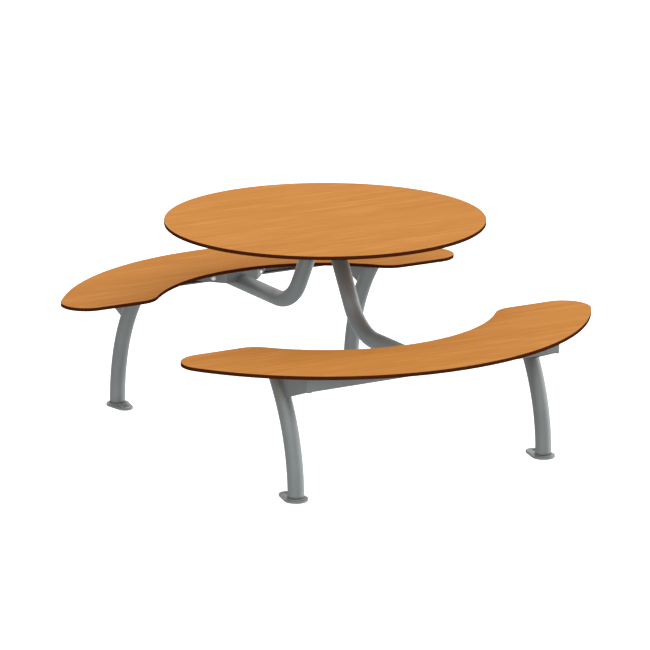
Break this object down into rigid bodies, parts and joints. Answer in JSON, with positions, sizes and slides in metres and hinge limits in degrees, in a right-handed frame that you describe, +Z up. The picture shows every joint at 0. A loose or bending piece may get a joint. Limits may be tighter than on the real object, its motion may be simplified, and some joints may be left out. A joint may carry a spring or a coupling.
{
  "type": "round table with attached benches",
  "caption": "Round table with curved benches joined to it: wood-look laminate tops on bent steel tubes and folded beams, with foot plates for ground anchors.",
  "frame": {"origin": "on the ground under the centre of the round table top", "axes": "+Z up; +X along the benches, to the right as seen from the front bench; +Y from the front bench to the back bench"},
  "size_m": [1.5654, 1.8236, 0.755],
  "materials": {
    "laminate": "wood-look compact laminate, satin, dark core at the edge",
    "frame": "grey powder coat, satin, slightly textured",
    "fasteners": "zinc plated",
    "inserts": "turned"
  },
  "bodies": {
    "root": {"table_top": "laminate", "bench_top_front": "laminate", "bench_top_back": "laminate", "leg_front_left": "frame", "leg_front_right": "frame", "leg_back_left": "frame", "leg_back_right": "frame", "foot_plate_front_left": "frame", "foot_plate_front_right": "frame", "foot_plate_back_left": "frame", "foot_plate_back_right": "frame", "leg_head_front_left": "frame", "leg_head_front_right": "frame", "leg_head_back_left": "frame", "leg_head_back_right": "frame", "beam_front": "frame", "beam_back": "frame", "beam_bracket_front": "frame", "beam_bracket_back": "frame", "arm_tube_front": "frame", "arm_tube_back": "frame", "arm_saddle_front": "frame", "arm_saddle_back": "frame", "arm_cap_front": "frame", "arm_cap_back": "frame", "table_plate": "frame", "arm_bolts": "fasteners", "arm_washers": "fasteners", "arm_nuts": "fasteners", "table_screws": "fasteners", "bench_screws_front": "fasteners", "bench_screws_back": "fasteners", "table_inserts": "inserts", "bench_inserts_front": "inserts", "bench_inserts_back": "inserts"}
  },
  "joints": []
}
